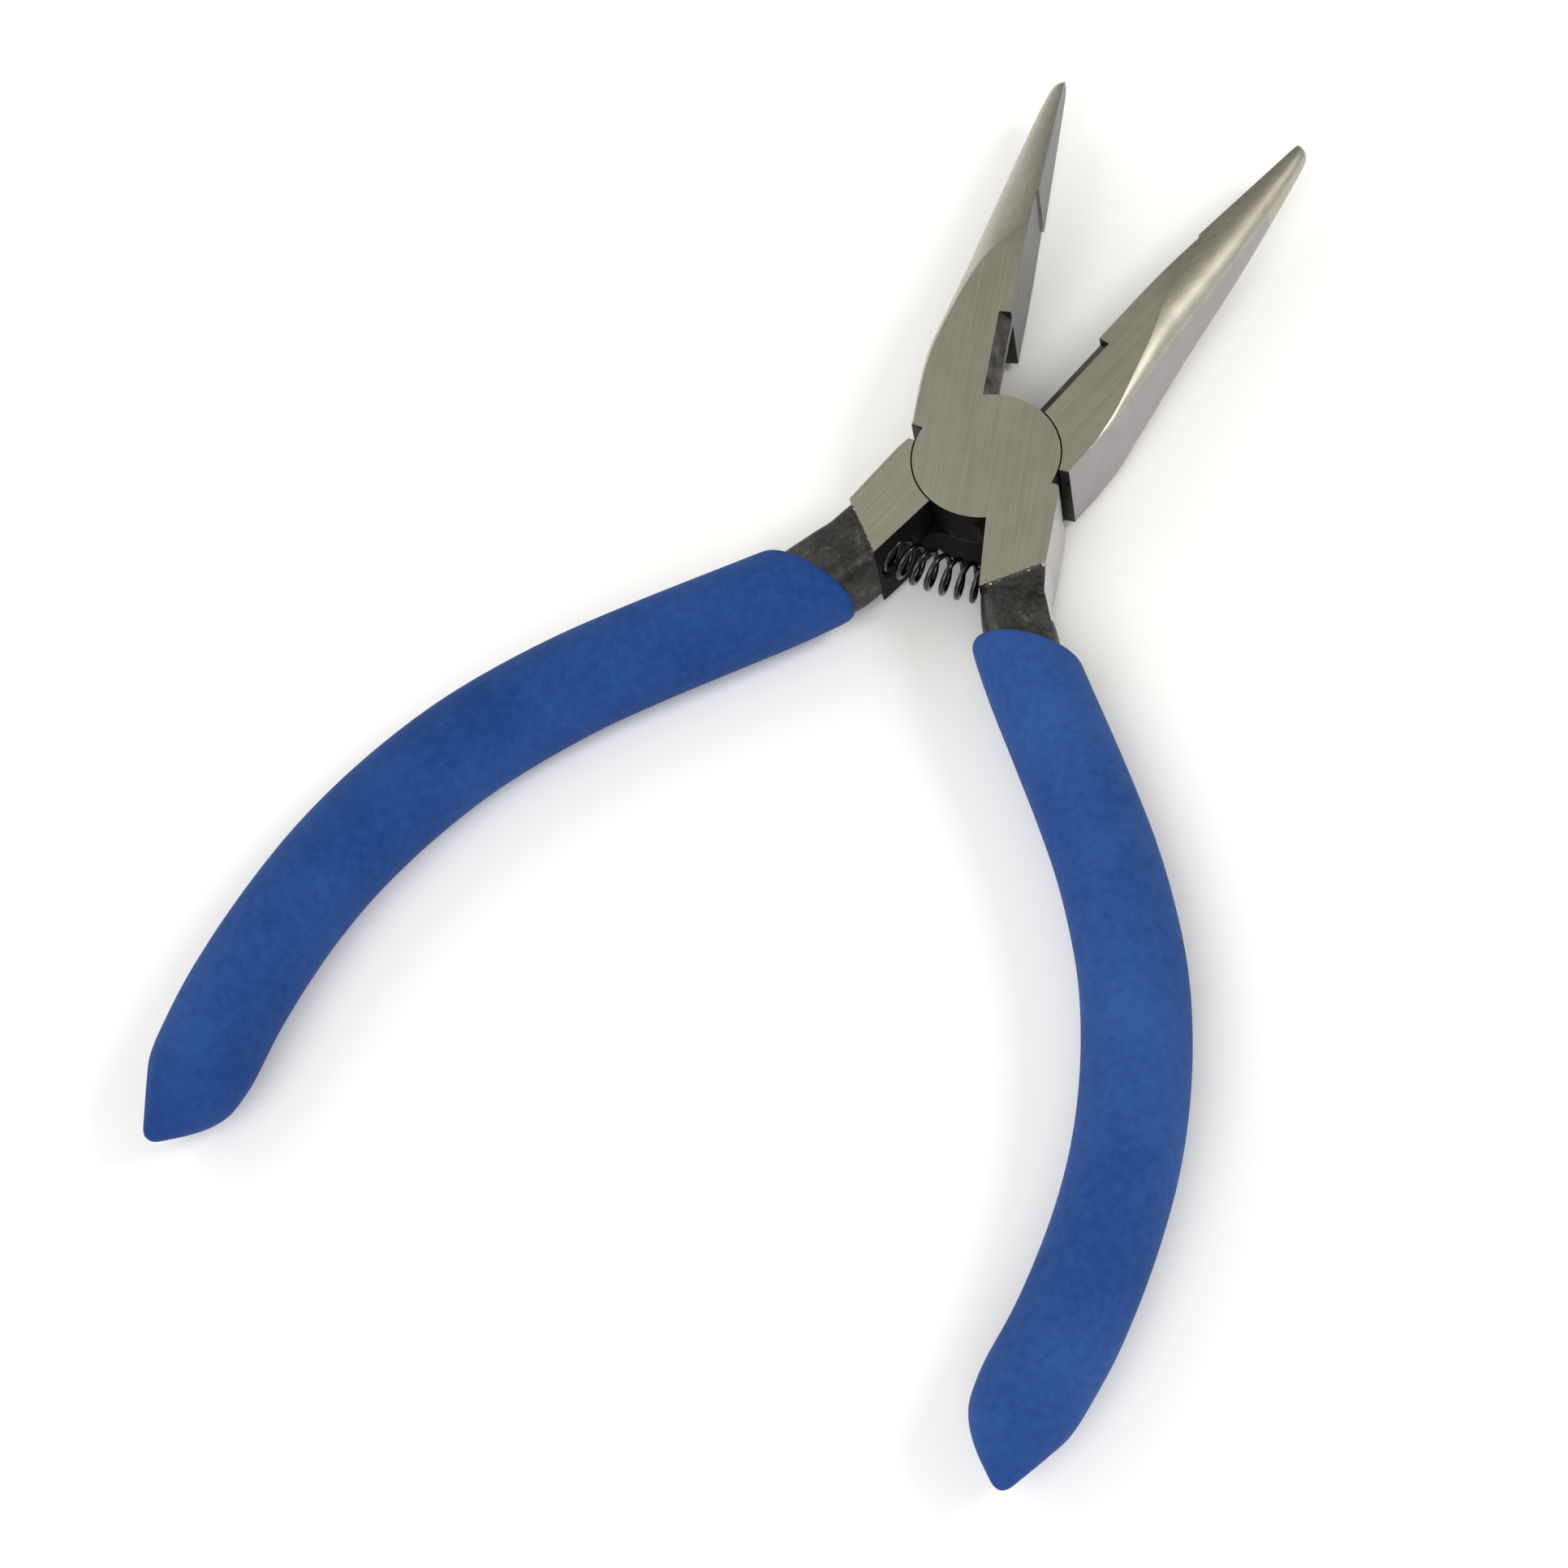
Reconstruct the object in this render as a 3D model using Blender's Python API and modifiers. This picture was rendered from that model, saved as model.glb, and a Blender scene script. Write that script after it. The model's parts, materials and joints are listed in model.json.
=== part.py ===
"""Mini long-nose pliers with a side cutter, a lap joint, a coil return spring and two sleeve grips.

Each half is drawn closed and straight, with the joint's axis on Z through the origin, the jaws
along +Y and Z = 0 in the lap plane between the two joint discs. A half's jaw lies at -X and its
tang at +X. The back half is the same drawing turned half a turn about Y. Both halves then swing
apart by half the opening angle, and the whole tool is lifted until its grips rest on Z = 0.
"""
import math

import bmesh
import bpy
from mathutils import Matrix, Vector

MM = 0.001

# Whole tool
OPENING = math.radians(30)      # angle between the jaws at rest
PIVOT_Y = 19.0 * MM             # puts the middle of the tool's box over the origin
HEAD_T = 7.25 * MM              # thickness of the joint and of the jaws' roots
FRONT = HEAD_T / 2              # height of the ground faces above the lap plane

# Joint
DISC_R = 6.06 * MM
DISC_CLEAR = 0.25 * MM          # round each disc
LAP_CLEAR = 0.30 * MM           # between the two discs
RIVET_R = 2.0 * MM
RIVET_HEAD_R = 2.9 * MM
RIVET_HEAD_T = 0.9 * MM
RIVET_PLAY = 0.08 * MM          # radial
RIVET_BLIND = 2.2 * MM          # how far the rivet enters the front disc
RIVET_END_GAP = 0.3 * MM
SHOULDER_ANGLE = math.radians(158.3)

# Jaws: distance from the pivot, half width, half width of the ground flat, half thickness,
# and how far the inner face stands back from the closing plane
TOUCH = 0.05 * MM
JAW_STATIONS = (
    (-1.0, 7.15, 6.50, 3.625, 0.05),
    (6.0, 7.20, 6.50, 3.625, 0.05),
    (10.6, 7.10, 5.85, 3.625, 0.25),
    (13.8, 6.55, 5.05, 3.625, 0.25),
    (17.0, 5.95, 4.20, 3.625, 0.25),
    (19.5, 5.50, 3.20, 3.625, 0.25),
    (21.2, 5.20, 2.20, 3.625, 0.25),
    (22.3, 5.00, 1.00, 3.625, 0.25),
    (22.7, 4.90, 0.25, 3.600, 0.25),
    (27.9, 3.93, 0.25, 2.860, 0.25),
    (28.1, 3.89, 0.05, 2.830, 0.05),
    (33.5, 2.88, 0.05, 2.070, 0.05),
    (38.3, 1.93, 0.05, 1.400, 0.05),
    (41.3, 1.20, 0.05, 0.970, 0.05),
    (41.95, 0.75, 0.05, 0.620, 0.05),
)
JAW_ARC_STEPS = 10

# Side cutter
NOTCH_Y = 14.5 * MM             # end of the cutter nearest the jaw tips
BEVEL = 1.2 * MM                # width and depth of the front bevel
BACK_BEVEL = 2.0 * MM           # width of the long bevel behind the cutting edge

# Tangs
TANG_OUTLINE = (
    (1.5, -1.0), (6.29, -2.35), (6.42, -3.6), (6.40, -9.74), (1.44, -12.52), (0.90, -5.0), (0.5, -2.0),
)
# Centre line of a tang from the joint to its buried end, with half width and half thickness
TANG_STATIONS = (
    (3.90, -8.5, 2.20, 3.00),
    (4.00, -10.6, 2.60, 3.40),
    (4.20, -12.6, 2.72, 3.38),
    (4.75, -14.6, 2.80, 3.15),
    (5.65, -16.6, 2.72, 2.85),
    (7.18, -19.8, 2.45, 2.45),
    (9.79, -24.7, 2.35, 2.35),
    (12.31, -29.5, 2.30, 2.30),
    (14.64, -34.3, 2.25, 2.25),
    (16.60, -39.3, 2.20, 2.20),
    (18.09, -44.2, 2.15, 2.15),
    (19.02, -49.2, 2.10, 2.10),
    (19.49, -54.2, 2.05, 2.05),
    (19.50, -59.1, 2.00, 2.00),
    (19.02, -63.9, 1.95, 1.95),
    (18.20, -68.5, 1.90, 1.90),
    (17.10, -72.9, 1.80, 1.80),
    (15.60, -77.0, 1.60, 1.60),
)
TANG_SIDES = 16
TANG_SQUARENESS = 2.6           # 2 is an ellipse, more is squarer

# Grips: the sleeve follows the tang, and these are its radius along the way
GRIP_MOUTH_Y = -15.8 * MM
GRIP_STATIONS = (
    (4.30, -14.2, 4.08),
    (5.25, -16.2, 4.10),
    (7.18, -19.8, 4.13),
    (9.79, -24.7, 4.15),
    (12.31, -29.5, 4.18),
    (14.64, -34.3, 4.22),
    (16.60, -39.3, 4.27),
    (18.09, -44.2, 4.30),
    (19.02, -49.2, 4.30),
    (19.49, -54.2, 4.28),
    (19.50, -59.1, 4.24),
    (19.02, -63.9, 4.20),
    (18.20, -68.5, 4.20),
    (17.10, -72.9, 4.20),
    (15.75, -76.8, 4.17),
    (15.15, -78.6, 4.02),
    (14.75, -80.0, 3.72),
    (14.60, -81.3, 3.10),
    (14.50, -82.6, 2.25),
    (14.45, -83.8, 1.35),
    (14.42, -85.03, 0.45),
)
GRIP_SIDES = 20
GRIP_CLEAR = 0.30 * MM          # between the tang and the sleeve

# Return spring, in blind pockets drilled across the tangs
WIRE_R = 0.25 * MM
COIL_R = 1.50 * MM             # to the middle of the wire
SPRING_Y = -10.2 * MM           # the pockets' place along a closed tang
POCKET_R = 1.95 * MM
POCKET_BOTTOM = 4.15 * MM       # from the closing plane
SPRING_END_GAP = 0.30 * MM
END_TURNS = 1                   # close wound turns at each end
END_PITCH = 0.60 * MM
ACTIVE_TURNS = 9
POINTS_PER_TURN = 12

PARTS = "long_nose_pliers"
CUTTERS = "cutters"


def start_clean():
    """Empties the scene and makes the two collections."""
    for old in list(bpy.data.objects):
        bpy.data.objects.remove(old, do_unlink=True)
    for name in (PARTS, CUTTERS):
        bpy.context.scene.collection.children.link(bpy.data.collections.new(name))


def material(name, colour, roughness, metallic):
    made = bpy.data.materials.new(name)
    made.use_nodes = True
    shader = made.node_tree.nodes["Principled BSDF"]
    shader.inputs["Base Color"].default_value = (*colour, 1)
    shader.inputs["Roughness"].default_value = roughness
    shader.inputs["Metallic"].default_value = metallic
    return made


def add(name, mesh, collection=PARTS, parent=None):
    """Puts a mesh in the scene under a parent, with no offset from it."""
    made = bpy.data.objects.new(name, mesh)
    bpy.data.collections[collection].objects.link(made)
    made.parent = parent
    if collection == CUTTERS:
        made.hide_render = True
        made.display_type = "WIRE"
    return made


def boolean(target, tool, operation):
    """Cuts or joins a tool into a piece. The tool stays as a hidden guide beside it."""
    step = target.modifiers.new(f"{operation.lower()} {tool.name}", "BOOLEAN")
    step.operation = operation
    step.solver = "EXACT"
    step.object = tool


def smooth(mesh, angle=30):
    mesh.shade_smooth()
    mesh.set_sharp_from_angle(angle=math.radians(angle))


def mesh_from(build, name):
    """A mesh filled by the function build, with its faces turned outwards."""
    shape = bmesh.new()
    build(shape)
    bmesh.ops.recalc_face_normals(shape, faces=shape.faces)
    mesh = bpy.data.meshes.new(name)
    shape.to_mesh(mesh)
    shape.free()
    return mesh


def cylinder_mesh(name, radius, low, high, turn=None, segments=64):
    """A cylinder along Z from low to high, then moved by turn."""
    place = (turn or Matrix()) @ Matrix.Translation((0, 0, (low + high) / 2))

    def build(shape):
        bmesh.ops.create_cone(
            shape, cap_ends=True, segments=segments, radius1=radius, radius2=radius,
            depth=high - low, matrix=place,
        )

    return mesh_from(build, name)


def prism_mesh(name, outline, low, high, turn=None):
    """A flat outline extruded along Z from low to high, then moved by turn."""
    curve = bpy.data.curves.new(name, "CURVE")
    curve.dimensions = "2D"
    curve.fill_mode = "BOTH"
    curve.extrude = (high - low) / 2
    line = curve.splines.new("POLY")
    line.points.add(len(outline) - 1)
    line.use_cyclic_u = True
    for point, (x, y) in zip(line.points, outline):
        point.co = (x, y, 0, 1)
    holder = bpy.data.objects.new(name, curve)
    bpy.data.collections[CUTTERS].objects.link(holder)
    bpy.context.view_layer.update()
    mesh = bpy.data.meshes.new_from_object(holder.evaluated_get(bpy.context.evaluated_depsgraph_get()))
    bpy.data.objects.remove(holder)
    mesh.transform((turn or Matrix()) @ Matrix.Translation((0, 0, (low + high) / 2)))
    shape = bmesh.new()
    shape.from_mesh(mesh)
    bmesh.ops.remove_doubles(shape, verts=shape.verts, dist=1e-7)
    bmesh.ops.recalc_face_normals(shape, faces=shape.faces)
    shape.to_mesh(mesh)
    shape.free()
    return mesh


def loft_mesh(name, rings):
    """A closed solid through rings of points, each ring with the same number of points."""

    def build(shape):
        loops = [[shape.verts.new(point) for point in ring] for ring in rings]
        for near, far in zip(loops, loops[1:]):
            count = len(near)
            for i in range(count):
                j = (i + 1) % count
                shape.faces.new((near[i], near[j], far[j], far[i]))
        shape.faces.new(loops[0])
        shape.faces.new(loops[-1])

    return mesh_from(build, name)


def jaw_ring(station):
    """The D shaped section of a jaw: its flat inner face, and an arc cut by the two ground faces."""
    y, width, flat, height, inner = (value * MM for value in station)
    limit = math.acos(flat / width)
    ring = [Vector((-inner, y, height)), Vector((-inner, y, -height))]
    for step in range(JAW_ARC_STEPS + 1):
        turn = limit * (2 * step / JAW_ARC_STEPS - 1)
        ring.append(Vector((-width * math.cos(turn), y, height * math.sin(turn) / math.sin(limit))))
    return ring


def path_rings(stations, sides, squareness, grow=0.0, phase=0.5):
    """Rounded sections square to a centre line, given as x, y, half width and half thickness.

    phase turns each section by that share of a side.
    """
    centres = [Vector((x, y, 0)) * MM for x, y, *_ in stations]
    rings = []
    for i, (_, _, *sizes) in enumerate(stations):
        ahead = centres[min(i + 1, len(centres) - 1)] - centres[max(i - 1, 0)]
        across = Vector((-ahead.y, ahead.x, 0)).normalized()
        half_width = sizes[0] * MM + grow
        half_thick = sizes[-1] * MM + grow
        ring = []
        for side in range(sides):
            turn = 2 * math.pi * (side + phase) / sides
            c, s = math.cos(turn), math.sin(turn)
            wide = math.copysign(abs(c) ** (2 / squareness), c) * half_width
            tall = math.copysign(abs(s) ** (2 / squareness), s) * half_thick
            ring.append(centres[i] + across * wide + Vector((0, 0, tall)))
        rings.append(ring)
    return rings


def cutter_outline(front_side):
    """The gap beside the cutting edge, in X and Z. front_side is 1 or -1: where the short bevel is."""
    edge_z = FRONT - BEVEL
    past = 1 * MM
    slope = (BACK_BEVEL - TOUCH) / (edge_z + FRONT)
    points = (
        (-TOUCH, edge_z),
        (-TOUCH - BEVEL - past, FRONT + past),
        (past, FRONT + past),
        (past, -FRONT - past),
        (-TOUCH - slope * (edge_z + FRONT + past), -FRONT - past),
    )
    return [(x, z * front_side) for x, z in points]


def make_half(name, parent, swing, flipped, steel):
    """One forging: jaw, joint disc and tang. The front half's disc is on the +Z side of the lap."""
    jaw = loft_mesh(name, [jaw_ring(station) for station in JAW_STATIONS])
    half = add(name, jaw, parent=parent)
    half.rotation_euler = (0, math.pi if flipped else 0, swing)

    def tool(label, mesh):
        return add(f"{name}_{label}", mesh, CUTTERS, half)

    far = 14 * MM
    shoulder = (
        (0, 0),
        (far * math.cos(SHOULDER_ANGLE), far * math.sin(SHOULDER_ANGLE)),
        (-far, -far),
        (far, -far),
        (far, 0),
    )
    beyond = FRONT + 2 * MM
    boolean(half, tool("shoulder", prism_mesh("shoulder", shoulder, -beyond, beyond)), "DIFFERENCE")

    upright = Matrix.Rotation(math.radians(90), 4, "X")
    recess = prism_mesh("recess", cutter_outline(-1 if flipped else 1), -NOTCH_Y, 0, upright)
    boolean(half, tool("recess", recess), "DIFFERENCE")

    head = prism_mesh("head", [(x * MM, y * MM) for x, y in TANG_OUTLINE], -FRONT, FRONT)
    boolean(half, tool("head", head), "UNION")
    tang = loft_mesh("tang", path_rings(TANG_STATIONS, TANG_SIDES, TANG_SQUARENESS))
    boolean(half, tool("tang", tang), "UNION")

    room = cylinder_mesh("room", DISC_R + DISC_CLEAR, -beyond, LAP_CLEAR / 2)
    boolean(half, tool("room", room), "DIFFERENCE")
    disc = cylinder_mesh("disc", DISC_R, LAP_CLEAR / 2, FRONT)
    boolean(half, tool("disc", disc), "UNION")

    bore_top = beyond if flipped else LAP_CLEAR / 2 + RIVET_BLIND + RIVET_END_GAP
    bore = cylinder_mesh("bore", RIVET_R + RIVET_PLAY, -beyond, bore_top, segments=48)
    boolean(half, tool("bore", bore), "DIFFERENCE")
    if flipped:
        sink = cylinder_mesh(
            "sink", RIVET_HEAD_R + RIVET_PLAY, FRONT - RIVET_HEAD_T - RIVET_END_GAP, beyond, segments=48
        )
        boolean(half, tool("sink", sink), "DIFFERENCE")

    across = Matrix.Translation((0, SPRING_Y, 0)) @ Matrix.Rotation(math.radians(90), 4, "Y")
    pocket = cylinder_mesh("pocket", POCKET_R, -1 * MM, POCKET_BOTTOM, across, segments=32)
    boolean(half, tool("pocket", pocket), "DIFFERENCE")
    smooth(jaw)
    jaw.materials.append(steel)
    return half


def make_grip(name, half, rubber):
    """A closed ended sleeve over a tang, its mouth cut square to the tool."""
    sleeve = loft_mesh(name, path_rings(GRIP_STATIONS, GRIP_SIDES, 2, phase=0))
    grip = add(name, sleeve, parent=half)
    wide = 30 * MM
    mouth = ((-wide, GRIP_MOUTH_Y), (wide, GRIP_MOUTH_Y), (wide, 0), (-wide, 0))
    boolean(grip, add(f"{name}_mouth", prism_mesh("mouth", mouth, -wide, wide), CUTTERS, half), "DIFFERENCE")
    hollow = loft_mesh("hollow", path_rings(TANG_STATIONS[1:], TANG_SIDES, TANG_SQUARENESS, GRIP_CLEAR))
    boolean(grip, add(f"{name}_hollow", hollow, CUTTERS, half), "DIFFERENCE")
    smooth(sleeve, 50)
    sleeve.materials.append(rubber)


def make_rivet(parent, steel):
    """A flush headed rivet: its head lies in the back disc and its shank ends inside the front disc."""
    head_low = -FRONT
    head_high = head_low + RIVET_HEAD_T
    top = LAP_CLEAR / 2 + RIVET_BLIND
    profile = ((0, top), (RIVET_R, top), (RIVET_R, head_high), (RIVET_HEAD_R, head_high),
               (RIVET_HEAD_R, head_low), (0, head_low))

    def build(shape):
        points = [shape.verts.new((x, 0, z)) for x, z in profile]
        for near, far in zip(points, points[1:]):
            shape.edges.new((near, far))

    mesh = bpy.data.meshes.new("pivot_rivet")
    shape = bmesh.new()
    build(shape)
    shape.to_mesh(mesh)
    shape.free()
    rivet = add("pivot_rivet", mesh, parent=parent)
    turned = rivet.modifiers.new("turned", "SCREW")
    turned.steps = turned.render_steps = 48
    turned.use_merge_vertices = True
    turned.merge_threshold = 0.00001
    turned.use_smooth_shade = False
    mesh.materials.append(steel)


def spring_points():
    """The wire's centre line: a helix about an arc that leaves each pocket along the pocket's axis."""
    half_angle = OPENING / 2
    end_x = POCKET_BOTTOM - SPRING_END_GAP - WIRE_R
    reach = end_x * math.cos(half_angle) - SPRING_Y * math.sin(half_angle)
    level = end_x * math.sin(half_angle) + SPRING_Y * math.cos(half_angle)
    arc_r = reach / math.sin(half_angle)
    centre_y = level + arc_r * math.cos(half_angle)
    length = arc_r * OPENING
    turns = ACTIVE_TURNS + 2 * END_TURNS
    pitch = (length - 2 * END_TURNS * END_PITCH) / ACTIVE_TURNS
    points = []
    for step in range(turns * POINTS_PER_TURN + 1):
        turn = step / POINTS_PER_TURN
        dead = min(turn, END_TURNS) + max(0, turn - END_TURNS - ACTIVE_TURNS)
        along = dead * END_PITCH + (turn - dead) * pitch
        angle = along / arc_r - half_angle
        outward = Vector((math.sin(angle), -math.cos(angle), 0))
        spoke = outward * math.cos(2 * math.pi * turn) + Vector((0, 0, math.sin(2 * math.pi * turn)))
        points.append(Vector((0, centre_y, 0)) + outward * arc_r + spoke * COIL_R)
    return points


def make_spring(parent, steel):
    curve = bpy.data.curves.new("return_spring", "CURVE")
    curve.dimensions = "3D"
    curve.bevel_depth = WIRE_R
    curve.bevel_resolution = 2
    curve.use_fill_caps = True
    line = curve.splines.new("POLY")
    points = spring_points()
    line.points.add(len(points) - 1)
    for point, place in zip(line.points, points):
        point.co = (*place, 1)
    add("return_spring", curve, parent=parent)
    curve.materials.append(steel)


def main():
    start_clean()
    ground = material("ground steel", (0.32, 0.31, 0.27), 0.35, 1.0)
    black = material("black spring steel", (0.01, 0.01, 0.012), 0.25, 0.9)
    rubber = material("blue grip", (0.025, 0.08, 0.24), 0.6, 0.0)
    bright = material("rivet steel", (0.45, 0.44, 0.42), 0.3, 1.0)

    tool = bpy.data.objects.new("pliers_joint_axis", None)
    bpy.data.collections[PARTS].objects.link(tool)
    grip_radius = max(station[2] for station in GRIP_STATIONS) * MM
    tool.location = (0, PIVOT_Y, grip_radius)

    front = make_half("front_half", tool, OPENING / 2, False, ground)
    back = make_half("back_half", tool, -OPENING / 2, True, ground)
    make_grip("right_grip", front, rubber)
    make_grip("left_grip", back, rubber)
    make_rivet(front, bright)
    make_spring(tool, black)


main()
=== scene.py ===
"""Looks for the mini long-nose pliers: two forged halves, a rivet, a coil spring and two foam grips.

Each half is drawn closed and straight, as in the CAD: the joint's axis is Z through the origin, the
jaws run along +Y, Z = 0 is the lap plane, the jaw is at -X and the tang at +X. Lengths below are in
millimetres, and MM turns them into metres.
"""

import json
import math
import random

import bmesh
import bpy
from mathutils import Matrix, Vector

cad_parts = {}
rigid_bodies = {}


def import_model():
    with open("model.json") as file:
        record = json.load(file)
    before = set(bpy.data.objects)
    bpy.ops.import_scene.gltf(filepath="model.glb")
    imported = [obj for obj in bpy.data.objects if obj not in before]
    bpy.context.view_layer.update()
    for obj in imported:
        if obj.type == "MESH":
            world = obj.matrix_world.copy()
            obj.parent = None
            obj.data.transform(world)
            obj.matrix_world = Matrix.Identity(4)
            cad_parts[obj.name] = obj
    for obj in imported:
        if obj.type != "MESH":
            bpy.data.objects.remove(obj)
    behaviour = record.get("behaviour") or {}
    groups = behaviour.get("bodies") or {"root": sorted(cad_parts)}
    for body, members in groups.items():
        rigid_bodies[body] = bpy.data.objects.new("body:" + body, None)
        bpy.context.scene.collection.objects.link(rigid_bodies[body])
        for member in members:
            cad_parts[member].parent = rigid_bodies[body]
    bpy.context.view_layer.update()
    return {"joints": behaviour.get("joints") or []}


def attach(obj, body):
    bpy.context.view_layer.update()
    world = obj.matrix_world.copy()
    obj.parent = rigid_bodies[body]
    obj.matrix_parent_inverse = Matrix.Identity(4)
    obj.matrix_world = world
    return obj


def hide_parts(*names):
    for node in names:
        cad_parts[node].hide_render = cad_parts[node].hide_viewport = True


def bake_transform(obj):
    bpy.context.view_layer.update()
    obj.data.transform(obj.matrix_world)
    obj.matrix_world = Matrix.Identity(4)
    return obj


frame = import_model()

MM = 0.001
JOINT = frame["joints"][0]
PIVOT = Vector(JOINT["pos_m"])
FRONT_BODY = JOINT["parent"]
BACK_BODY = JOINT["child"]
OPENING = math.radians(30)

FRONT = 3.625                   # height of the ground faces above the lap plane
DISC_R = 6.06
DISC_CLEAR = 0.13               # round the other half's disc
LAP = 0.15                      # half the gap between the two discs
SHOULDER_ANGLE = math.radians(158.3)
JAW_FACE_Y = 3.0                # a jaw's inner face starts here
NOTCH_Y = 14.5                  # the cutter's recess ends here
STEP_Y = 28.0                   # the gripping pads run from here to the tips
TOUCH = 0.05                    # half the gap between the closed jaws' pads
RELIEF = 0.25                   # half the gap between the closed jaws below the pads
BEVEL = 1.2                     # of the cutter, at the ground face it shows on
BACK_BEVEL = 2.0                # of the cutter, at the other ground face
RIVET_R = 2.0
RIVET_HEAD_R = 2.9
RIVET_HEAD_T = 0.9
RIVET_BLIND = 2.2               # how far the rivet goes into the front disc
POCKET_R = 1.95                 # of the blind holes for the spring's ends
POCKET_BOTTOM = 4.15
WEB_R = 1.7                     # fillet between a disc and its tang
WEB_WALL = 0.98                 # where that fillet meets the tang
WEB_DROP = 1.0                  # how far it stays below the ground face
EDGE = 0.07                     # broken edges on the ground steel
SNAP = 0.01                     # points this near a ground face belong to it
MERGE = 0.0005                  # points this near each other are one

SPRING_Y = -10.2
WIRE_R = 0.235
COIL_R = 1.50
ACTIVE_TURNS = 9
END_TURNS = 1                   # close wound turns at each end
END_PITCH = 0.58


# ---------------------------------------------------------------- mesh helpers

def scene_object(name, mesh):
    """A new object in the scene for a mesh."""
    made = bpy.data.objects.new(name, mesh)
    bpy.context.scene.collection.objects.link(made)
    return made


def mesh_from(build, name):
    """A mesh from a function that fills a bmesh, with its faces turned outwards."""
    shape = bmesh.new()
    build(shape)
    bmesh.ops.recalc_face_normals(shape, faces=shape.faces)
    mesh = bpy.data.meshes.new(name)
    shape.to_mesh(mesh)
    shape.free()
    return mesh


def loft_mesh(name, rings):
    """A closed solid through rings of points, given in millimetres."""

    def build(shape):
        loops = [[shape.verts.new(point * MM) for point in ring] for ring in rings]
        for near, far in zip(loops, loops[1:]):
            count = len(near)
            for i in range(count):
                j = (i + 1) % count
                shape.faces.new((near[i], near[j], far[j], far[i]))
        shape.faces.new(loops[0])
        shape.faces.new(loops[-1])

    return mesh_from(build, name)


def prism_mesh(name, outline, low, high, turn=None):
    """An outline in millimetres, extruded along Z, then turned."""

    def build(shape):
        base = [shape.verts.new((x * MM, y * MM, low * MM)) for x, y in outline]
        face = shape.faces.new(base)
        grown = bmesh.ops.extrude_face_region(shape, geom=[face])
        top = [item for item in grown["geom"] if isinstance(item, bmesh.types.BMVert)]
        bmesh.ops.translate(shape, verts=top, vec=(0, 0, (high - low) * MM))
        if turn:
            bmesh.ops.transform(shape, matrix=turn, verts=shape.verts)

    return mesh_from(build, name)


def cylinder_mesh(name, radius, low, high, turn=None, segments=192):
    """A cylinder along Z from low to high, then turned."""
    place = (turn or Matrix()) @ Matrix.Translation((0, 0, (low + high) / 2 * MM))

    def build(shape):
        bmesh.ops.create_cone(
            shape, cap_ends=True, segments=segments, radius1=radius * MM, radius2=radius * MM,
            depth=(high - low) * MM, matrix=place,
        )

    return mesh_from(build, name)


def carve(mesh, steps):
    """Applies a list of (operation, mesh) to a mesh and returns the result."""
    work = scene_object("work", mesh)
    tools = []
    for operation, tool_mesh in steps:
        tool = scene_object("tool", tool_mesh)
        tools.append(tool)
        modifier = work.modifiers.new("cut", "BOOLEAN")
        modifier.operation = operation
        modifier.solver = "EXACT"
        modifier.object = tool
    graph = bpy.context.evaluated_depsgraph_get()
    graph.update()
    result = bpy.data.meshes.new_from_object(work.evaluated_get(graph))
    for item in [work, *tools]:
        bpy.data.objects.remove(item)
    return result


def flattened(mesh):
    """Makes each ground face one flat polygon, without the seams that the cuts and unions leave."""
    shape = bmesh.new()
    shape.from_mesh(mesh)
    for point in shape.verts:
        if abs(abs(point.co.z) - FRONT * MM) < SNAP * MM:
            point.co.z = math.copysign(FRONT * MM, point.co.z)
    bmesh.ops.remove_doubles(shape, verts=shape.verts, dist=MERGE * MM)
    bmesh.ops.dissolve_degenerate(shape, dist=MERGE * MM, edges=shape.edges)
    level = {point for point in shape.verts if abs(abs(point.co.z) - FRONT * MM) < 1e-7}
    inside = [edge for edge in shape.edges if all(end in level for end in edge.verts)]
    bmesh.ops.dissolve_limit(shape, angle_limit=math.radians(0.5), verts=[], edges=inside)
    shape.to_mesh(mesh)
    shape.free()
    return mesh


def smoothed(rows, count):
    """A Catmull-Rom curve through rows of numbers, read at count even steps."""
    out = []
    for step in range(count):
        t = step * (len(rows) - 1) / (count - 1)
        i = min(int(t), len(rows) - 2)
        f = t - i
        before, here, there, after = (rows[min(max(i + k, 0), len(rows) - 1)] for k in (-1, 0, 1, 2))
        out.append(tuple(
            0.5 * (2 * b + (c - a) * f + (2 * a - 5 * b + 4 * c - d) * f * f
                   + (3 * b - a - 3 * c + d) * f ** 3)
            for a, b, c, d in zip(before, here, there, after)
        ))
    return out


# ---------------------------------------------------------------- shapes of the halves

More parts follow.
